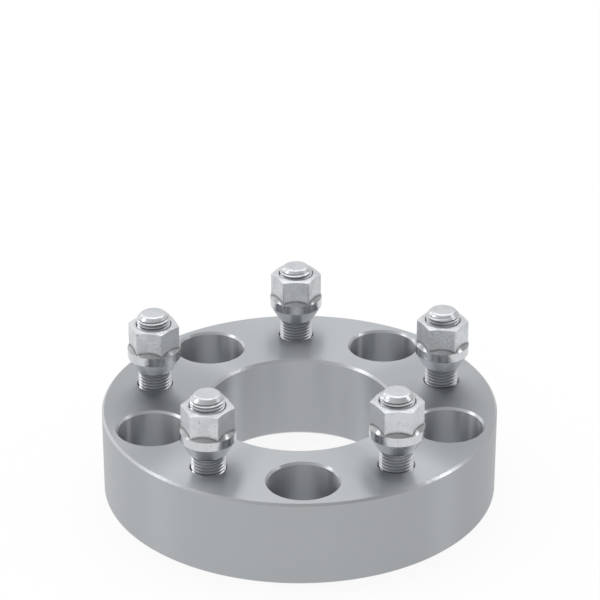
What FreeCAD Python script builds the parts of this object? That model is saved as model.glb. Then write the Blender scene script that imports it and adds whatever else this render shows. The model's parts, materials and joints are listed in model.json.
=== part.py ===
import FreeCAD, Part
import os
import Sketcher

# Wheel spacer: a turned aluminium disc that bolts to a hub through five deep
# pockets and carries five pressed-in wheel studs, each with its lug nut.
# Row frame: +Z points to the wheel, the origin is the centre of the hub face,
# and the first stud stands on +Y. All sizes are in millimetres and degrees.

os.makedirs("parts", exist_ok=True)
doc = FreeCAD.newDocument("wheel_spacer")
dims = doc.addObject("Spreadsheet::Sheet", "dims")

# Driving dimensions. The spreadsheet gets one row for each.
SIZES = {
    # Disc
    "bolt_circle_diameter": 114.3,  # circle that carries the studs and the pockets
    "rim_width": 16.6,  # metal from the bolt circle out to the rim
    "hub_bore_diameter": 70.0,  # bore that slips over the hub
    "disc_thickness": 32.5,  # hub face to wheel face
    "rim_chamfer": 0.8,  # bevel round the wheel face
    "bore_chamfer": 0.85,  # bevel at both ends of the bore
    "edge_break": 0.4,  # small bevel on the hub face edges

    # Pocket for the hub's own stud and nut
    "pocket_diameter": 25.5,  # room for a socket round the hub nut
    "pocket_chamfer": 0.8,  # bevel at the pocket mouth
    "pocket_floor": 13.0,  # metal left under the pocket
    "hub_hole_diameter": 14.0,  # hole for the hub's stud
    "seat_width": 3.0,  # width of the conical nut seat beside the hole
    "seat_angle": 60.0,  # full angle of every nut seat, in the pocket and on the nuts

    # Stud
    "thread_diameter": 12.6,  # crest of the wheel thread
    "stud_projection": 29.7,  # stud tip above the wheel face
    "tip_diameter": 8.9,  # flat end of the stud, before its edge is rounded
    "tip_angle": 45.0,  # slope of the bevel at the stud tip
    "tip_rounding": 1.5,  # radius between that bevel and the flat end
    "stud_hole_gap": 0.35,  # gap round the thread in the disc
    "stud_hole_bevel": 0.25,  # bevel of that hole at the wheel face
    "head_diameter": 20.0,  # round head behind the disc
    "head_thickness": 4.0,  # height of the head
    "head_bevel": 0.9,  # bevel on the back of the head
    "head_recess": 0.6,  # depth of the head below the hub face
    "head_gap": 0.4,  # room round the head in its counterbore
    "head_fillet": 0.8,  # radius under the head
    "fillet_gap": 0.2,  # room for that radius in the disc
    "knurl_length": 11.0,  # length of the pressed-in ribs
    "knurl_height": 0.3,  # height of a rib
    "knurl_rib_width": 0.7,  # width of a rib at its root
    "knurl_gap": 0.01,  # gap drawn between rib and hole

    # Lug nut
    "hex_across_flats": 17.0,  # wrench size
    "hex_height": 10.0,  # collar to the top of the nut
    "corner_radius": 0.8,  # rounding of the six corners
    "corner_inset": 0.8,  # top face inside the flats
    "corner_angle": 20.0,  # slope of the bevel over the hex corners
    "collar_diameter": 20.1,  # round collar under the hex
    "collar_height": 3.4,  # straight part of the collar
    "ledge_height": 1.55,  # rise from the collar to the middle of a flat
    "foot_wall": 0.7,  # wall left at the narrow end of the seat cone
    "thread_gap": 0.05,  # gap drawn between nut and stud
    "mouth_width": 0.4,  # countersink where the stud leaves the nut
    "mouth_depth": 0.8,  # depth of that countersink

    # Each lug nut as it is screwed on: wheel face to its foot, and its turn
    "nut_height_1": 8.1,
    "nut_height_2": 6.65,
    "nut_height_3": 6.45,
    "nut_height_4": 7.45,
    "nut_height_5": 7.0,
    "nut_turn_1": -1.5,
    "nut_turn_2": -10.8,
    "nut_turn_3": -8.0,
    "nut_turn_4": -0.8,
    "nut_turn_5": -5.0,
}
for row, (alias, value) in enumerate(SIZES.items(), start=1):
    dims.set(f"A{row}", alias.replace("_", " "))
    dims.set(f"B{row}", str(value))
    dims.setAlias(f"B{row}", alias)
doc.recompute()

STATIONS = 5
KNURL_RIBS = 30
PASS = "1"
CLOSE = 0.001

# Expressions that more than one piece reads
BOLT_RADIUS = "dims.bolt_circle_diameter / 2"
THREAD_RADIUS = "dims.thread_diameter / 2"
STUD_HOLE_RADIUS = f"({THREAD_RADIUS} + dims.stud_hole_gap)"
HEAD_SEAT = "(dims.head_recess + dims.head_thickness)"
SEAT_SLOPE = "tan(dims.seat_angle / 2 * 1 deg)"


def origin_part(body, role):
    """The body's own base plane or axis."""
    return next(part for part in body.Origin.OriginFeatures if part.Role == role)


def new_sketch(body, name, role, lift="0"):
    """An empty sketch on one of the body's base planes, raised along its normal."""
    sketch = body.newObject("Sketcher::SketchObject", name)
    sketch.AttachmentSupport = (origin_part(body, role), "")
    sketch.MapMode = "FlatFace"
    sketch.setExpression("AttachmentOffset.Base.z", lift)
    doc.recompute()
    return sketch


def pin_point(sketch, line, end, corner):
    """Hold one end of a line at a corner, given as a pair of expressions."""
    for kind, axis, text in zip(("DistanceX", "DistanceY"), (-2, -1), corner):
        if text == "0":
            sketch.addConstraint(Sketcher.Constraint("PointOnObject", line, end, axis))
            continue
        value = float(sketch.evalExpression(text))
        rule = Sketcher.Constraint(kind, -1, 1, line, end, value)
        index = sketch.addConstraint(rule)
        sketch.setExpression(f"Constraints[{index}]", text)


def draw_outline(sketch, corners):
    """A closed outline of straight sides through the corners."""
    spots = []
    for corner in corners:
        x, y = (float(sketch.evalExpression(text)) for text in corner)
        spots.append(FreeCAD.Vector(x, y, 0))
    first = sketch.GeometryCount
    following = spots[1:] + spots[:1]
    for start, end in zip(spots, following):
        sketch.addGeometry(Part.LineSegment(start, end), False)
    for step, corner in enumerate(corners):
        side = first + step
        before = first + (step - 1) % len(corners)
        sketch.addConstraint(Sketcher.Constraint("Coincident", before, 2, side, 1))
        pin_point(sketch, side, 1, corner)


def draw_axis(sketch, x_text, top_text):
    """A construction line along Z, for a sketch to turn about."""
    x = float(sketch.evalExpression(x_text))
    top = float(sketch.evalExpression(top_text))
    line = Part.LineSegment(FreeCAD.Vector(x, 0, 0), FreeCAD.Vector(x, top, 0))
    index = sketch.addGeometry(line, True)
    pin_point(sketch, index, 1, (x_text, "0"))
    pin_point(sketch, index, 2, (x_text, top_text))


def turned(body, kind, name, corners, role="XZ_Plane", axis_x=None):
    """Turn an outline of radius and height about Z, or about its own axis."""
    sketch = new_sketch(body, f"{name}_profile", role)
    axis = "V_Axis"
    if axis_x:
        draw_axis(sketch, axis_x, "dims.disc_thickness")
        axis = "Axis0"
    draw_outline(sketch, corners)
    feature = body.newObject(f"PartDesign::{kind}", name)
    feature.Profile = sketch
    feature.ReferenceAxis = (sketch, [axis])
    feature.Angle = 360
    doc.recompute()
    return feature


def around_z(body, name, originals, copies):
    """Repeat features evenly round the body's Z axis."""
    pattern = body.newObject("PartDesign::PolarPattern", name)
    pattern.Originals = originals
    pattern.Axis = (origin_part(body, "Z_Axis"), [""])
    pattern.Angle = 360
    pattern.Occurrences = copies
    body.Tip = pattern
    doc.recompute()
    return pattern


def is_circle(edge, radius, height):
    """Whether an edge is a circle of this radius at this height."""
    curve = edge.Curve
    if not isinstance(curve, Part.Circle):
        return False
    return abs(curve.Radius - radius) < CLOSE and abs(curve.Center.z - height) < CLOSE


def is_upright(edge):
    """Whether an edge is a straight line along Z."""
    return isinstance(edge.Curve, Part.Line) and abs(edge.Curve.Direction.z) > 1 - CLOSE


def rounded(body, name, base, wanted, radius_text):
    """Round those edges of the last feature that pass a test."""
    numbered = enumerate(base.Shape.Edges, start=1)
    names = [f"Edge{index}" for index, edge in numbered if wanted(edge)]
    fillet = body.newObject("PartDesign::Fillet", name)
    fillet.Base = (base, names)
    fillet.setExpression("Radius", radius_text)
    doc.recompute()
    return fillet


def new_body(label):
    """A sub-part, named as its file will be."""
    body = doc.addObject("PartDesign::Body", label)
    body.Label = label
    return body


def make_spacer_body():
    """The disc, turned in one piece and then drilled five times from each face."""
    body = new_body("spacer_body")
    inner = "dims.hub_bore_diameter / 2"
    outer = f"({BOLT_RADIUS} + dims.rim_width)"
    top = "dims.disc_thickness"
    turned(body, "Revolution", "disc_blank", (
        (f"{inner} + dims.bore_chamfer", "0"),
        (f"{outer} - dims.edge_break", "0"),
        (outer, "dims.edge_break"),
        (outer, f"{top} - dims.rim_chamfer"),
        (f"{outer} - dims.rim_chamfer", top),
        (f"{inner} + dims.bore_chamfer", top),
        (inner, f"{top} - dims.bore_chamfer"),
        (inner, "dims.bore_chamfer"),
    ))

    # Pocket, conical nut seat and hub hole, on the -Y side. PASS carries each
    # cutter a little way out of both faces.
    centre = f"-{BOLT_RADIUS}"
    hole = f"{centre} + dims.hub_hole_diameter / 2"
    seat = f"{hole} + dims.seat_width"
    pocket = f"{centre} + dims.pocket_diameter / 2"
    floor = "dims.pocket_floor"
    pocket_cut = turned(body, "Groove", "nut_pocket", (
        (centre, f"-{PASS}"),
        (f"{hole} + dims.edge_break + {PASS}", f"-{PASS}"),
        (hole, "dims.edge_break"),
        (hole, f"{floor} - dims.seat_width / {SEAT_SLOPE}"),
        (seat, floor),
        (pocket, floor),
        (pocket, f"{top} - dims.pocket_chamfer"),
        (f"{pocket} + dims.pocket_chamfer + {PASS}", f"{top} + {PASS}"),
        (centre, f"{top} + {PASS}"),
    ), "YZ_Plane", centre)

    # Stud hole with the counterbore for the stud's head, on the +Y side
    centre = BOLT_RADIUS
    bore = f"{centre} + {STUD_HOLE_RADIUS}"
    counterbore = f"{centre} + dims.head_diameter / 2 + dims.head_gap"
    relief = "dims.head_fillet + dims.fillet_gap"
    stud_cut = turned(body, "Groove", "stud_hole", (
        (centre, f"-{PASS}"),
        (f"{counterbore} + dims.edge_break + {PASS}", f"-{PASS}"),
        (counterbore, "dims.edge_break"),
        (counterbore, HEAD_SEAT),
        (f"{bore} + {relief}", HEAD_SEAT),
        (bore, f"{HEAD_SEAT} + {relief}"),
        (bore, f"{top} - dims.stud_hole_bevel"),
        (f"{bore} + dims.stud_hole_bevel + {PASS}", f"{top} + {PASS}"),
        (centre, f"{top} + {PASS}"),
    ), "YZ_Plane", centre)
    around_z(body, "stations", [pocket_cut, stud_cut], STATIONS)
    return body


def make_stud(number):
    """A headed stud with pressed-in ribs, on its own axis from the hub face up."""
    body = new_body(f"wheel_stud_{number}")
    head = "dims.head_diameter / 2"
    crest = f"({STUD_HOLE_RADIUS} - dims.knurl_gap)"
    root = f"({crest} - dims.knurl_height)"
    knurl_top = f"({HEAD_SEAT} + dims.knurl_length)"
    tip = "(dims.disc_thickness + dims.stud_projection)"
    drop = f"({THREAD_RADIUS} - dims.tip_diameter / 2) * tan(dims.tip_angle * 1 deg)"
    shank = turned(body, "Revolution", "stud_blank", (
        ("0", "dims.head_recess"),
        (f"{head} - dims.head_bevel", "dims.head_recess"),
        (head, "dims.head_recess + dims.head_bevel"),
        (head, HEAD_SEAT),
        (root, HEAD_SEAT),
        (root, knurl_top),
        (THREAD_RADIUS, knurl_top),
        (THREAD_RADIUS, f"{tip} - {drop}"),
        ("dims.tip_diameter / 2", tip),
        ("0", tip),
    ))

    # The radius under the head, and the soft edge of the flat end
    root_radius = float(shank.evalExpression(root))
    seat_height = float(shank.evalExpression(HEAD_SEAT))
    fillet = rounded(
        body, "head_radius", shank,
        lambda edge: is_circle(edge, root_radius, seat_height),
        "dims.head_fillet",
    )
    tip_radius = float(shank.evalExpression("dims.tip_diameter / 2"))
    tip_height = float(shank.evalExpression(tip))
    rounded(
        body, "tip_round", fillet,
        lambda edge: is_circle(edge, tip_radius, tip_height),
        "dims.tip_rounding",
    )

    # One tapered rib, padded from above the head radius, then repeated
    start = f"({HEAD_SEAT} + dims.head_fillet + dims.fillet_gap)"
    rib_sketch = new_sketch(body, "rib_profile", "XY_Plane", start)
    half = "dims.knurl_rib_width / 2"
    draw_outline(rib_sketch, (
        (f"{root} - dims.knurl_height", f"-{half}"),
        (root, f"-{half}"),
        (crest, f"-{half} / 4"),
        (crest, f"{half} / 4"),
        (root, half),
        (f"{root} - dims.knurl_height", half),
    ))
    rib = body.newObject("PartDesign::Pad", "rib")
    rib.Profile = rib_sketch
    rib.setExpression("Length", f"{knurl_top} - {start}")
    doc.recompute()
    around_z(body, "knurl", [rib], KNURL_RIBS)
    return body


def make_nut(number):
    """An open lug nut: seat cone, collar and a hex that dies into the collar."""
    body = new_body(f"lug_nut_{number}")
    bore = f"({THREAD_RADIUS} + dims.thread_gap)"
    foot = f"({bore} + dims.foot_wall)"
    collar = "dims.collar_diameter / 2"
    flat = "dims.hex_across_flats / 2"
    cone_top = f"({collar} - {foot}) / {SEAT_SLOPE}"
    collar_top = f"({cone_top} + dims.collar_height)"
    top = f"({collar_top} + dims.hex_height)"

    hex_sketch = new_sketch(body, "hex_profile", "XY_Plane", collar_top)
    half_side = f"{flat} * tan(30 deg)"
    corner = f"{flat} / cos(30 deg)"
    draw_outline(hex_sketch, (
        (corner, "0"),
        (half_side, flat),
        (f"-{half_side}", flat),
        (f"-{corner}", "0"),
        (f"-{half_side}", f"-{flat}"),
        (half_side, f"-{flat}"),
    ))
    hexagon = body.newObject("PartDesign::Pad", "hexagon")
    hexagon.Profile = hex_sketch
    hexagon.setExpression("Length", "dims.hex_height")
    doc.recompute()
    rounded(body, "hex_corners", hexagon, is_upright, "dims.corner_radius")

    # The bevel over the corners
    face_edge = f"({flat} - dims.corner_inset)"
    beyond = f"({corner} + {PASS})"
    fall = f"({beyond} - {face_edge}) * tan(dims.corner_angle * 1 deg)"
    turned(body, "Groove", "corner_bevel", (
        (face_edge, top),
        (beyond, f"{top} - {fall}"),
        (beyond, top),
    ))

    # Turned foot. Its upper cone carries on inside the hex, so each flat ends
    # on it in an arch that is highest at the middle of the flat.
    ledge_slope = f"dims.ledge_height / ({collar} - {flat})"
    ledge_peak = f"{collar_top} + ({collar} - {bore}) * {ledge_slope}"
    turned(body, "Revolution", "turned_foot", (
        ("0", "0"),
        (foot, "0"),
        (collar, cone_top),
        (collar, collar_top),
        (bore, ledge_peak),
        ("0", ledge_peak),
    ))

    # The bore, countersunk where the stud comes out
    mouth_slope = "dims.mouth_width / dims.mouth_depth"
    turned(body, "Groove", "thread_bore", (
        ("0", f"-{PASS}"),
        (bore, f"-{PASS}"),
        (bore, f"{top} - dims.mouth_depth"),
        (f"{bore} + dims.mouth_width + {PASS} * {mouth_slope}", f"{top} + {PASS}"),
        ("0", f"{top} + {PASS}"),
    ))
    return body


def place_at_station(body, number, height, turn):
    """Stand a piece on the bolt circle at its station, counted from +Y."""
    station = f"({number - 1} * 360 / {STATIONS} * 1 deg)"
    body.setExpression("Placement.Base.x", f"-{BOLT_RADIUS} * sin({station})")
    body.setExpression("Placement.Base.y", f"{BOLT_RADIUS} * cos({station})")
    body.setExpression("Placement.Base.z", height)
    body.Placement.Rotation.Axis = FreeCAD.Vector(0, 0, 1)
    body.setExpression("Placement.Rotation.Angle", turn)


pieces = [make_spacer_body()]
for number in range(1, STATIONS + 1):
    stud = make_stud(number)
    place_at_station(stud, number, "0", f"{number - 1} * 360 / {STATIONS} * 1 deg")
    nut = make_nut(number)
    height = f"dims.disc_thickness + dims.nut_height_{number}"
    place_at_station(nut, number, height, f"dims.nut_turn_{number} * 1 deg")
    pieces += [stud, nut]
doc.recompute()

for item in doc.Objects:
    if "Invalid" in item.State or "Error" in item.State:
        raise RuntimeError(f"{item.Label} did not build: {item.State}")
for piece in pieces:
    if piece.Shape.isNull() or not piece.Shape.isValid():
        raise RuntimeError(f"{piece.Label} has no valid solid")
    if len(piece.Shape.Solids) != 1:
        raise RuntimeError(f"{piece.Label} is not one solid")
for piece in pieces:
    piece.Shape.exportStep(f"parts/{piece.Label}.step")
    print(piece.Label, round(piece.Shape.Volume, 1), "mm3")
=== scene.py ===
import json
import math

import bpy
from mathutils import Matrix, Vector


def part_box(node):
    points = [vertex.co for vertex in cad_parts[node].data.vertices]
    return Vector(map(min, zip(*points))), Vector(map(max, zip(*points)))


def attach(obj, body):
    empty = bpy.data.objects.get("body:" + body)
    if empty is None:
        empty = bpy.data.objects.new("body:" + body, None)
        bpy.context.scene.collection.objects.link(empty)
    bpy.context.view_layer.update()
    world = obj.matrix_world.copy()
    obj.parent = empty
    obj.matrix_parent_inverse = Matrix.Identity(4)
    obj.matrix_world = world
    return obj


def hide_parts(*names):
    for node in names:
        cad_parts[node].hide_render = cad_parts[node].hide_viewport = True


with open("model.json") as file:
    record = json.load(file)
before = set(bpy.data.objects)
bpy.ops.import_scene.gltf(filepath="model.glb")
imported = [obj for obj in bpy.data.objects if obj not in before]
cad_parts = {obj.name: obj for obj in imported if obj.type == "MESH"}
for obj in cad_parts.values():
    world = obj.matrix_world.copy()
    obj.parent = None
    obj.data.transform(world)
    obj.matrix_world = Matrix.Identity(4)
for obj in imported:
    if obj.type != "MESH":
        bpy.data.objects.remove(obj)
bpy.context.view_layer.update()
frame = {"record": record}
mounts = {mount["name"]: mount["dims"] for mount in frame["record"]["mounts"]}

# Disc
# One piece of aluminium bar, turned all over. The hub bore goes right through,
# and five pockets and five stud holes are then drilled on the bolt circle.
MM = 0.001
CLOSE = 0.001 * MM
STATIONS = mounts["hub_bolt_holes"]["count"]

disc_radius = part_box("spacer_body")[1].x
disc_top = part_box("spacer_body")[1].z
bolt_radius = mounts["hub_bolt_holes"]["pcd_mm"] / 2 * MM
bore_radius = mounts["hub_bore"]["r_mm"] * MM
hub_hole_radius = mounts["hub_bolt_holes"]["hole_r_mm"] * MM
rim_chamfer = 0.8 * MM
bore_chamfer = 0.85 * MM
edge_break = 0.4 * MM
pocket_radius = 12.75 * MM
pocket_chamfer = 0.8 * MM
pocket_floor = 13.0 * MM
seat_width = 3.0 * MM
seat_slope = math.tan(math.radians(30))
stud_hole_radius = 6.65 * MM
stud_hole_bevel = 0.25 * MM
counterbore_radius = 10.4 * MM
counterbore_depth = 4.6 * MM
through = 1.0 * MM
disc_sharp_past = 25
DISC_STEPS = 256
HOLE_STEPS = 96


def pick(piece):
    """Make a piece the active one and the only one selected."""
    bpy.ops.object.select_all(action="DESELECT")
    bpy.context.view_layer.objects.active = piece
    piece.select_set(True)


def edit(piece):
    """Open a piece for editing, with all of it selected."""
    pick(piece)
    bpy.ops.object.mode_set(mode="EDIT")
    bpy.ops.mesh.select_all(action="SELECT")


def lathe(name, corners, steps, x=0.0, y=0.0):
    """Turn a closed outline, given as radius and height, about an upright axis."""
    bpy.ops.mesh.primitive_circle_add(vertices=len(corners), radius=disc_radius)
    piece = bpy.context.object
    piece.name = name
    for vertex, (radius, height) in zip(piece.data.vertices, corners):
        vertex.co = (x + radius, y, height)
    edit(piece)
    bpy.ops.mesh.spin(steps=steps, angle=math.tau, center=(x, y, 0), axis=(0, 0, 1))
    bpy.ops.mesh.select_all(action="SELECT")
    bpy.ops.mesh.remove_doubles(threshold=CLOSE)
    bpy.ops.mesh.delete_loose()
    bpy.ops.mesh.select_all(action="SELECT")
    bpy.ops.mesh.normals_make_consistent(inside=False)
    bpy.ops.object.mode_set(mode="OBJECT")
    return piece


def shape_with(piece, tool, operation="DIFFERENCE"):
    """Cut a piece with a tool, join it on or keep what they share. The tool goes."""
    pick(piece)
    boolean = piece.modifiers.new("shape", "BOOLEAN")
    boolean.operation = operation
    boolean.solver = "EXACT"
    boolean.object = tool
    bpy.ops.object.modifier_apply(modifier=boolean.name)
    bpy.data.objects.remove(tool)


def smooth(piece, degrees):
    """Shade a piece smoothly, with sharp edges past this angle and its flat faces flat."""
    pick(piece)
    bpy.ops.object.shade_smooth_by_angle(angle=math.radians(degrees))
    weights = piece.modifiers.new("weights", "WEIGHTED_NORMAL")
    weights.keep_sharp = True
    bpy.ops.object.modifier_apply(modifier=weights.name)


disc = lathe("turned_disc", (
    (bore_radius + bore_chamfer, 0),
    (disc_radius - edge_break, 0),
    (disc_radius, edge_break),
    (disc_radius, disc_top - rim_chamfer),
    (disc_radius - rim_chamfer, disc_top),
    (bore_radius + bore_chamfer, disc_top),
    (bore_radius, disc_top - bore_chamfer),
    (bore_radius, bore_chamfer),
), DISC_STEPS)

pocket_profile = (
    (0, -through),
    (hub_hole_radius + edge_break + through, -through),
    (hub_hole_radius, edge_break),
    (hub_hole_radius, pocket_floor - seat_width / seat_slope),
    (hub_hole_radius + seat_width, pocket_floor),
    (pocket_radius, pocket_floor),
    (pocket_radius, disc_top - pocket_chamfer),
    (pocket_radius + pocket_chamfer + through, disc_top + through),
    (0, disc_top + through),
)
stud_hole_profile = (
    (0, -through),
    (counterbore_radius + edge_break + through, -through),
    (counterbore_radius, edge_break),
    (counterbore_radius, counterbore_depth),
    (stud_hole_radius, counterbore_depth),
    (stud_hole_radius, disc_top - stud_hole_bevel),
    (stud_hole_radius + stud_hole_bevel + through, disc_top + through),
    (0, disc_top + through),
)
for station in range(STATIONS):
    turn = math.tau * station / STATIONS
    for start, profile in ((-math.pi / 2, pocket_profile), (math.pi / 2, stud_hole_profile)):
        x = bolt_radius * math.cos(start + turn)
        y = bolt_radius * math.sin(start + turn)
        shape_with(disc, lathe("cutter", profile, HOLE_STEPS, x, y))
smooth(disc, disc_sharp_past)


def add_node(tree, kind, inputs=None, **settings):
    """A shader node with its settings, and inputs that are values or links."""
    made = tree.nodes.new(kind)
    for name, value in settings.items():
        setattr(made, name, value)
    for name, value in (inputs or {}).items():
        if isinstance(value, bpy.types.NodeSocket):
            tree.links.new(value, made.inputs[name])
        else:
            made.inputs[name].default_value = value
    return made


def new_metal(name, colour, roughness, metallic=1.0):
    """A bare metal, and the tree and surface node that its details are added to."""
    material = bpy.data.materials.new(name)
    material.use_nodes = True
    surface = material.node_tree.nodes["Principled BSDF"]
    surface.inputs["Base Color"].default_value = (*colour, 1)
    surface.inputs["Metallic"].default_value = metallic
    surface.inputs["Roughness"].default_value = roughness
    return material, material.node_tree, surface


def add_relief(tree, surface, place, per_metre, depth, strength=0.5, detail=3.0, **settings):
    """Fine relief in the skin of a metal, from noise with so many grains to the metre."""
    grain = add_node(tree, "ShaderNodeTexNoise", {
        "Vector": place, "Scale": per_metre, "Detail": detail,
    }, **settings)
    relief = add_node(tree, "ShaderNodeBump", {
        "Strength": strength, "Distance": depth, "Height": grain.outputs["Fac"],
    })
    tree.links.new(relief.outputs["Normal"], surface.inputs["Normal"])


# Turned aluminium. The tool marks run round the axis on faces and walls alike,
# so they are noise of radius and height, and reflections smear across them. The
# pockets and the bore are cut by another tool, and their paler colour is painted
# light that lifts the shade in these hollows.
marks_per_metre = 9000
mark_depth = 0.004 * MM
mark_strength = 0.25
grazing_tint = 0.84
wall_share = 9
quarter_turn = 0.25
for name, colour, roughness in (
    ("turned_aluminium", (0.454, 0.471, 0.49), 0.36),
    # The same metal in the pockets and bore, made paler: painted light in these hollows
    ("bored_aluminium_lit", (0.578, 0.597, 0.621), 0.42),
):
    metal, tree, surface = new_metal(name, colour, roughness)
    surface.inputs["Anisotropic"].default_value = 1
    surface.inputs["Anisotropic Rotation"].default_value = quarter_turn
    surface.inputs["Specular Tint"].default_value = (grazing_tint, grazing_tint, grazing_tint, 1)
    place = add_node(tree, "ShaderNodeTexCoord").outputs["Object"]
    flat = add_node(tree, "ShaderNodeVectorMath", {0: place, 1: (1, 1, 0)}, operation="MULTIPLY")
    radius = add_node(tree, "ShaderNodeVectorMath", {0: flat.outputs[0]}, operation="LENGTH")
    height = add_node(tree, "ShaderNodeSeparateXYZ", {0: place})
    across = add_node(tree, "ShaderNodeCombineXYZ", {
        "X": radius.outputs["Value"], "Y": height.outputs["Z"],
    }).outputs[0]
    add_relief(
        tree, surface, across, marks_per_metre, mark_depth, mark_strength, detail=2.0, noise_dimensions="2D",
    )
    # A wall faces straight outward; on a flat face the place itself points outward
    facing = add_node(tree, "ShaderNodeNewGeometry").outputs["Normal"]
    outward = add_node(tree, "ShaderNodeVectorMath", {
        0: facing, 1: (wall_share, wall_share, 0), 2: place,
    }, operation="MULTIPLY_ADD")
    round_axis = add_node(tree, "ShaderNodeVectorMath", {
        0: (0, 0, 1), 1: outward.outputs[0],
    }, operation="CROSS_PRODUCT")
    along_marks = add_node(tree, "ShaderNodeVectorMath", {0: round_axis.outputs[0]}, operation="NORMALIZE")
    tree.links.new(along_marks.outputs[0], surface.inputs["Tangent"])
    disc.data.materials.append(metal)

# The chamfers are cut last, with a keen tool, and shine more than the faces; their paler colour is a painted
# highlight
nicks_per_metre = 700.0
nick_depth = 0.1 * MM
highlit_edge_metal, tree, surface = new_metal("chamfered_aluminium_highlit", (0.5, 0.515, 0.534), 0.3)
place = add_node(tree, "ShaderNodeTexCoord").outputs["Object"]
add_relief(tree, surface, place, nicks_per_metre, nick_depth)
disc.data.materials.append(highlit_edge_metal)

# How level a face lies: up to the first value it is a wall, from the second a flat
wall_level, flat_level = 0.3, 0.95
TURNED, BORED, CHAMFERED = range(3)
for face in disc.data.polygons:
    level = abs(face.normal.z)
    on_rim = face.center.xy.length > disc_radius - rim_chamfer - CLOSE
    if wall_level < level < flat_level:
        face.material_index = CHAMFERED
    elif on_rim or level >= flat_level:
        face.material_index = TURNED
    else:
        face.material_index = BORED

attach(disc, "root")
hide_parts("spacer_body")

# Wheel studs
# Headed steel studs, pressed into the disc from the hub side on their ribs. The
# thread is cut to the tip and plated, and the end is bevelled with a soft edge.
thread_radius = mounts["wheel_studs"]["stud_r_mm"] * MM
stud_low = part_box("wheel_stud_1")[0].z
stud_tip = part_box("wheel_stud_1")[1].z
head_radius = 10.0 * MM
head_bevel = 0.9 * MM
head_seat = counterbore_depth
head_fillet = 0.8 * MM
rib_height = 0.3 * MM
rib_width = 0.7 * MM
rib_crest_width = rib_width / 4
rib_gap = 0.01 * MM
rib_foot = head_seat + head_fillet + 0.2 * MM
rib_top = head_seat + 11.0 * MM
shank_radius = stud_hole_radius - rib_gap - rib_height
tip_radius = 4.45 * MM
tip_rounding = 1.5 * MM
tip_bevel = 45
pitch = 1.27 * MM
thread_depth = 0.6 * pitch
thread_flank = math.radians(30)
crest_width = pitch / 8
steel_sharp_past = 35
THREAD_STEPS = 48
STUD_STEPS = 96
RIBS = 30
ARC_STEPS = 6


def arc(centre, radius, start, end):
    """Points of an arc in an outline, from one angle to another in degrees."""
    points = []
    for step in range(ARC_STEPS + 1):
        angle = math.radians(start + (end - start) * step / ARC_STEPS)
        points.append((centre[0] + radius * math.cos(angle), centre[1] + radius * math.sin(angle)))
    return points


bevel_drop = thread_radius - tip_radius
tip_centre = (tip_radius - tip_rounding * math.tan(math.radians(tip_bevel / 2)), stud_tip - tip_rounding)
stud = lathe("stud_blank", (
    (0, stud_low),
    (head_radius - head_bevel, stud_low),
    (head_radius, stud_low + head_bevel),
    (head_radius, head_seat),
    *arc((shank_radius + head_fillet, head_seat + head_fillet), head_fillet, 270, 180),
    (shank_radius, rib_top),
    (thread_radius, rib_top),
    (thread_radius, stud_tip - bevel_drop),
    *arc(tip_centre, tip_rounding, tip_bevel, 90),
    (0, stud_tip),
), STUD_STEPS)

# The thread cutter is a V groove wound up the stud to the right
groove_width = pitch - crest_width
root_width = groove_width - 2 * thread_depth * math.tan(thread_flank)
root_radius = thread_radius - thread_depth
past_crest = thread_radius + 0.5 * MM
groove_corners = (
    (past_crest, -groove_width / 2), (past_crest, groove_width / 2),
    (thread_radius, groove_width / 2), (root_radius, root_width / 2),
    (root_radius, -root_width / 2), (thread_radius, -groove_width / 2),
)
END_SIDES = 8
bpy.ops.mesh.primitive_circle_add(vertices=len(groove_corners), radius=thread_radius)
cutter = bpy.context.object
for vertex, (corner_out, corner_up) in zip(cutter.data.vertices, groove_corners):
    vertex.co = (corner_out, 0, rib_top + groove_width + corner_up)
screw = cutter.modifiers.new("wind", "SCREW")
screw.axis = "Z"
screw.angle = math.tau
screw.screw_offset = pitch
screw.iterations = math.ceil((stud_tip - rib_top) / pitch) + 1
screw.steps = THREAD_STEPS
screw.render_steps = THREAD_STEPS
screw.use_merge_vertices = True
screw.merge_threshold = CLOSE
bpy.ops.object.modifier_apply(modifier=screw.name)
edit(cutter)
bpy.ops.mesh.remove_doubles(threshold=CLOSE)
bpy.ops.mesh.fill_holes(sides=END_SIDES)
bpy.ops.mesh.select_all(action="SELECT")
bpy.ops.mesh.normals_make_consistent(inside=False)
bpy.ops.object.mode_set(mode="OBJECT")
shape_with(stud, cutter)

# The pressed-in ribs, one bar repeated round the shank
bpy.ops.mesh.primitive_cube_add(size=1)
ribs = bpy.context.object
ribs.name = "ribs"
for vertex in ribs.data.vertices:
    outside = vertex.co.x > 0
    vertex.co.x = shank_radius + rib_height if outside else shank_radius - rib_height
    vertex.co.y *= rib_crest_width if outside else rib_width
    vertex.co.z = rib_top if vertex.co.z > 0 else rib_foot
edit(ribs)
bpy.ops.mesh.spin(steps=RIBS, angle=math.tau, dupli=True, center=(0, 0, 0), axis=(0, 0, 1))
bpy.ops.mesh.select_all(action="SELECT")
bpy.ops.mesh.remove_doubles(threshold=CLOSE)
bpy.ops.object.mode_set(mode="OBJECT")
shape_with(stud, ribs, "UNION")
smooth(stud, steel_sharp_past)

# Plated steel is dull in pits and in faint blotches, and shade is painted into its colour where its shape
# closes in
pits_per_metre = 1500.0
pits_start, pits_full = 0.64, 0.74
pit_bareness = 0.4
blotches_per_metre = 230.0
blotches_start, blotches_full = 0.45, 0.6
shade_and_dull_colour_share = 0.12
dull_roughness = 0.7
dull_metallic = 0.2
AO_SAMPLES = 12


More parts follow.
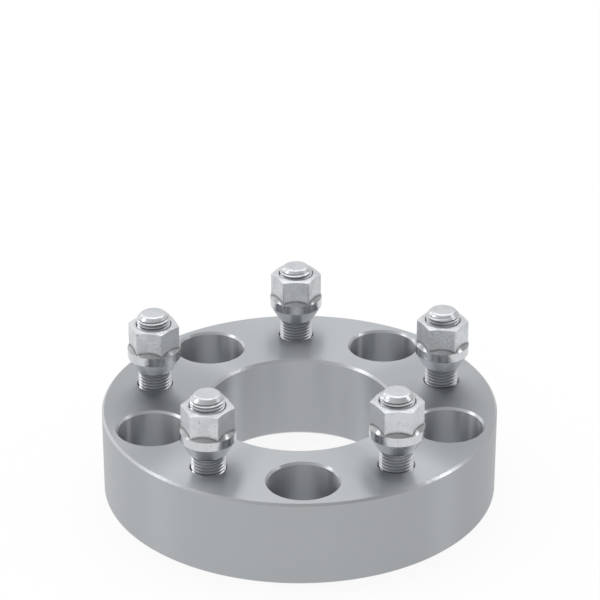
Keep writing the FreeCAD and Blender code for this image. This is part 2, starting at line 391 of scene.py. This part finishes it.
def add_crease_shade_and_grime(tree, surface, reach, covered, clear, blotch):
    """Paint shade into a metal's colour where its own shape closes in, and dull it in small pits and faint
    blotches.
    """
    colour = tuple(surface.inputs["Base Color"].default_value)
    # Ambient occlusion of the piece's own shape: painted shade in its creases and hollows
    opened = add_node(tree, "ShaderNodeAmbientOcclusion", {
        "Distance": reach,
    }, only_local=True, samples=AO_SAMPLES)
    crease_unshaded = add_node(tree, "ShaderNodeMapRange", {
        "Value": opened.outputs["AO"], "From Min": covered, "From Max": clear,
    }, interpolation_type="SMOOTHSTEP")
    unshaded_and_clean = crease_unshaded.outputs["Result"]
    place = add_node(tree, "ShaderNodeTexCoord").outputs["Object"]
    for per_metre, start, full, bareness in (
        (pits_per_metre, pits_start, pits_full, pit_bareness),
        (blotches_per_metre, blotches_start, blotches_full, 1.0 - blotch),
    ):
        grain = add_node(tree, "ShaderNodeTexNoise", {"Vector": place, "Scale": per_metre, "Detail": 2.0})
        sound = add_node(tree, "ShaderNodeMapRange", {
            "Value": grain.outputs["Fac"],
            "From Min": start, "From Max": full, "To Min": 1.0, "To Max": bareness,
        })
        unshaded_and_clean = add_node(tree, "ShaderNodeMath", {
            0: unshaded_and_clean, 1: sound.outputs["Result"],
        }, operation="MULTIPLY").outputs[0]
    # The darker colour is painted shade in the creases, and real dullness in the pits and blotches
    mixed = add_node(tree, "ShaderNodeMix", {"Factor": unshaded_and_clean}, data_type="RGBA")
    shaded_dull_colour, bare_colour, mixed_colour = mixed.inputs[6], mixed.inputs[7], mixed.outputs[2]
    shaded_dull_colour.default_value = (*(shade_and_dull_colour_share * value for value in colour[:3]), 1)
    bare_colour.default_value = colour
    tree.links.new(mixed_colour, surface.inputs["Base Color"])
    for name, dull in (("Roughness", dull_roughness), ("Metallic", dull_metallic)):
        clean = surface.inputs[name].default_value
        change = add_node(tree, "ShaderNodeMapRange", {"Value": unshaded_and_clean, "To Min": dull, "To Max": clean})
        tree.links.new(change.outputs["Result"], surface.inputs[name])


plated_stud, tree, surface = new_metal("plated_stud", (0.6, 0.617, 0.638), 0.28)
# Painted shade darkens the thread roots, with pits and faint blotches besides
add_crease_shade_and_grime(tree, surface, reach=0.5 * MM, covered=0.45, clear=1.0, blotch=0.1)
stud.data.materials.append(plated_stud)


def place_copy(piece, name, x, y, z, turn):
    """A copy of a piece with its own mesh, moved and turned within that mesh."""
    twin = piece.copy()
    twin.data = piece.data.copy()
    twin.name = name
    twin.data.transform(Matrix.Translation((x, y, z)) @ Matrix.Rotation(turn, 4, "Z"))
    bpy.context.scene.collection.objects.link(twin)
    return twin


stations = {}
for number in range(1, STATIONS + 1):
    turn = math.tau * (number - 1) / STATIONS
    stations[number] = (-bolt_radius * math.sin(turn), bolt_radius * math.cos(turn), turn)
for number, (x, y, turn) in stations.items():
    threaded = place_copy(stud, f"threaded_stud_{number}", x, y, 0, turn)
    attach(threaded, "root")
    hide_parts(f"wheel_stud_{number}")
bpy.data.objects.remove(stud)

# Lug nuts
# Open steel nuts, forged and plated. The hex dies into a round collar in arches,
# and a cone under the collar seats in the wheel. Each stands where it was left,
# at its own height and turned by its own number of degrees.
NUT_TURNS = {1: -1.5, 2: -10.8, 3: -8.0, 4: -0.8, 5: -5.0}
HEX_SIDES = 6
nut_bore = thread_radius + 0.05 * MM
half_flats = 8.5 * MM
hex_height = 10.0 * MM
corner_radius = 0.8 * MM
corner_inset = 0.8 * MM
corner_slope = math.tan(math.radians(20))
collar_radius = 10.05 * MM
collar_height = 3.4 * MM
ledge_height = 1.55 * MM
ledge_overlap = 0.5 * MM
foot_wall = 0.7 * MM
mouth_width = 0.4 * MM
mouth_depth = 0.8 * MM
worn_edge = 0.12 * MM
worn_past = 28
WORN_STEPS = 2
CORNER_STEPS = 4
NUT_STEPS = 96

foot_radius = nut_bore + foot_wall
cone_top = (collar_radius - foot_radius) / seat_slope
collar_top = cone_top + collar_height
nut_top = collar_top + hex_height
half_side_turn = math.pi / HEX_SIDES
hex_corner = half_flats / math.cos(half_side_turn)

# A hexagonal bar, rounded along its upright corners
bpy.ops.mesh.primitive_cylinder_add(vertices=HEX_SIDES, radius=hex_corner, depth=hex_height)
nut = bpy.context.object
nut.name = "nut_blank"
nut.data.transform(Matrix.Rotation(half_side_turn, 4, "Z"))
nut.data.transform(Matrix.Translation((0, 0, collar_top + hex_height / 2)))
edit(nut)
bpy.ops.mesh.select_all(action="DESELECT")
bpy.ops.object.mode_set(mode="OBJECT")
for edge in nut.data.edges:
    low, high = (nut.data.vertices[index].co for index in edge.vertices)
    edge.select = abs(low.z - high.z) > CLOSE
bpy.ops.object.mode_set(mode="EDIT")
corner_cut = corner_radius * math.tan(math.radians(30))
bpy.ops.mesh.bevel(offset=corner_cut, offset_type="OFFSET", segments=CORNER_STEPS, profile=0.5)
bpy.ops.object.mode_set(mode="OBJECT")

# Its top is turned to a bevel, then the collar and cone go on and it is bored
face_edge = half_flats - corner_inset
beyond = hex_corner + through
shape_with(nut, lathe("corner_bevel", (
    (0, 0),
    (beyond, 0),
    (beyond, nut_top - (beyond - face_edge) * corner_slope),
    (face_edge, nut_top),
    (0, nut_top),
), NUT_STEPS), "INTERSECT")
ledge_slope = ledge_height / (collar_radius - half_flats)
ledge_in = nut_bore + ledge_overlap
ledge_top = collar_top + (collar_radius - ledge_in) * ledge_slope
shape_with(nut, lathe("turned_foot", (
    (0, 0),
    (foot_radius, 0),
    (collar_radius, cone_top),
    (collar_radius, collar_top),
    (ledge_in, ledge_top),
    (0, ledge_top),
), NUT_STEPS), "UNION")
shape_with(nut, lathe("thread_bore", (
    (0, -through),
    (nut_bore, -through),
    (nut_bore, nut_top - mouth_depth),
    (nut_bore + mouth_width * (1 + through / mouth_depth), nut_top + through),
    (0, nut_top + through),
), NUT_STEPS))
worn = nut.modifiers.new("worn_edges", "BEVEL")
worn.width = worn_edge
worn.segments = WORN_STEPS
worn.limit_method = "ANGLE"
worn.angle_limit = math.radians(worn_past)
bpy.ops.object.modifier_apply(modifier=worn.name)
smooth(nut, steel_sharp_past)

# The collar and cone are turned bright, the hex keeps its duller forged skin, and
# the ledges between them have a darker colour, painted shade
dents_per_metre = 900.0
for name, colour, roughness, metallic, dent_depth, blotch in (
    ("turned_zinc", (0.6, 0.617, 0.638), 0.15, 1.0, 0.1 * MM, 0.03),
    ("forged_zinc", (0.63, 0.648, 0.67), 0.34, 0.62, 0.3 * MM, 0.13),
    ("shaded_ledge_zinc", (0.43, 0.442, 0.457), 0.2, 1.0, 0.1 * MM, 0.05),
):
    plating, tree, surface = new_metal(name, colour, roughness, metallic)
    # Painted shade in the nut's own creases, such as the arches over the ledges, with pits and faint
    # blotches besides
    add_crease_shade_and_grime(tree, surface, reach=1.4 * MM, covered=0.84, clear=0.96, blotch=blotch)
    place = add_node(tree, "ShaderNodeTexCoord").outputs["Object"]
    add_relief(tree, surface, place, dents_per_metre, dent_depth)
    nut.data.materials.append(plating)
COLLAR, HEX, LEDGE = range(3)
for face in nut.data.polygons:
    above_collar = face.center.z - collar_top
    on_side = above_collar > 0 and abs(face.normal.z) < wall_level
    if on_side or above_collar > ledge_height + worn_edge:
        face.material_index = HEX
    elif above_collar > worn_edge:
        face.material_index = LEDGE
    else:
        face.material_index = COLLAR

for number, (x, y, turn) in stations.items():
    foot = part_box(f"lug_nut_{number}")[0].z
    seated = place_copy(nut, f"plated_nut_{number}", x, y, foot, math.radians(NUT_TURNS[number]))
    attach(seated, "root")
    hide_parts(f"lug_nut_{number}")
bpy.data.objects.remove(nut)

# Floor, light and camera
# A white sweep in a dim room with pale walls, a wide light overhead, a faint one
# from the front and four small lamps. The bare metal mirrors them all; the lamps
# make its bright fans and glints.
floor_size = 12.0
paper_white = 0.93
paper_roughness = 0.9
glow_share = 0.88
bpy.ops.mesh.primitive_plane_add(size=floor_size)
floor = bpy.context.object
floor.name = "floor"
paper = bpy.data.materials.new("white_paper")
paper.use_nodes = True
tree = paper.node_tree
surface = tree.nodes["Principled BSDF"]
surface.inputs["Base Color"].default_value = (paper_white, paper_white, paper_white, 1)
surface.inputs["Roughness"].default_value = paper_roughness
glow = add_node(tree, "ShaderNodeEmission", {"Color": (1, 1, 1, 1), "Strength": 1.0})
path = add_node(tree, "ShaderNodeLightPath")
seen = add_node(tree, "ShaderNodeMath", {
    0: path.outputs["Is Camera Ray"], 1: path.outputs["Is Glossy Ray"],
}, operation="MAXIMUM")
share = add_node(tree, "ShaderNodeMath", {0: seen.outputs[0], 1: glow_share}, operation="MULTIPLY")
blend = add_node(tree, "ShaderNodeMixShader", {
    "Fac": share.outputs[0], 1: surface.outputs[0], 2: glow.outputs[0],
})
tree.links.new(blend.outputs[0], tree.nodes["Material Output"].inputs["Surface"])
floor.data.materials.append(paper)

# The room is dim above and below and paler towards the height of the eye
dim_level = 0.2
pale_walls = 0.62
wall_sharpness = 3.0
room = bpy.data.worlds.new("room")
bpy.context.scene.world = room
room.use_nodes = True
tree = room.node_tree
backdrop = tree.nodes["Background"]
toward = add_node(tree, "ShaderNodeTexCoord").outputs["Generated"]
parts = add_node(tree, "ShaderNodeSeparateXYZ", {0: toward})
upward = add_node(tree, "ShaderNodeMath", {0: parts.outputs["Z"], 1: 2.0}, operation="POWER")
sideways = add_node(tree, "ShaderNodeMath", {0: 1.0, 1: upward.outputs[0]}, operation="SUBTRACT")
walls = add_node(tree, "ShaderNodeMath", {0: sideways.outputs[0], 1: wall_sharpness}, operation="POWER")
brightness = add_node(tree, "ShaderNodeMath", {
    0: walls.outputs[0], 1: pale_walls, 2: dim_level,
}, operation="MULTIPLY_ADD")
for centre, sharpness, strength in (
    ((0, 0.35, 0.94), 6.0, 1.83),    # the wide light overhead
    ((-0.97, 0.22, 0), 1.0, 0.5),    # the left wall
    ((0.85, 0.53, 0), 6.0, -0.4),    # a dark corner at the back right
    ((0.6, 0.63, 0.49), 10.0, 0.5),  # a pale patch above that corner
    ((0, -0.9, 0.44), 3.0, 0.32),    # the faint light from the front
):
    nearness = add_node(tree, "ShaderNodeVectorMath", {0: toward, 1: centre}, operation="DOT_PRODUCT")
    ahead = add_node(tree, "ShaderNodeMath", {0: nearness.outputs["Value"], 1: 0.0}, operation="MAXIMUM")
    spread = add_node(tree, "ShaderNodeMath", {0: ahead.outputs[0], 1: sharpness}, operation="POWER")
    brightness = add_node(tree, "ShaderNodeMath", {
        0: spread.outputs[0], 1: strength, 2: brightness.outputs[0],
    }, operation="MULTIPLY_ADD")
path = add_node(tree, "ShaderNodeLightPath")
seen = add_node(tree, "ShaderNodeMix", {
    "Factor": path.outputs["Is Camera Ray"], "A": brightness.outputs[0], "B": 1.0,
})
backdrop.inputs["Color"].default_value = (1, 1, 1, 1)
tree.links.new(seen.outputs[0], backdrop.inputs["Strength"])

# Four upright lamps, each turned to face the spacer
lamp_aim = Vector((0, 0, 0.03))
lamp_height = 0.3
for name, place, width, power in (
    ("left_side", (-0.85, 0.09, 0.8), 0.14, 0.7),
    ("right_side", (0.9, 0.03, 0.66), 0.12, 0.65),
    ("left_back", (-0.66, 0.7, 0.56), 0.1, 0.36),
    ("right_back", (0.55, 0.38, 0.9), 0.08, 0.36),
):
    lamp = bpy.data.lights.new(name, "AREA")
    lamp.shape = "RECTANGLE"
    lamp.size = width
    lamp.size_y = lamp_height
    lamp.energy = power
    stand = bpy.data.objects.new(name, lamp)
    stand.location = place
    stand.rotation_euler = (lamp_aim - Vector(place)).to_track_quat("-Z", "Y").to_euler()
    bpy.context.scene.collection.objects.link(stand)

lens_mm = 154.29
film_width_mm = 36
farthest_seen = 50
camera_place = (-0.01995, -0.84429, 0.49348)
camera_tilt, camera_pan = 63.6735, -1.3677
camera_data = bpy.data.cameras.new("camera")
camera_data.lens = lens_mm
camera_data.sensor_width = film_width_mm
camera_data.clip_end = farthest_seen
camera = bpy.data.objects.new("camera", camera_data)
camera.location = camera_place
camera.rotation_euler = (math.radians(camera_tilt), 0, math.radians(camera_pan))
bpy.context.scene.collection.objects.link(camera)
bpy.context.scene.camera = camera
bpy.context.scene.view_settings.view_transform = "Standard"
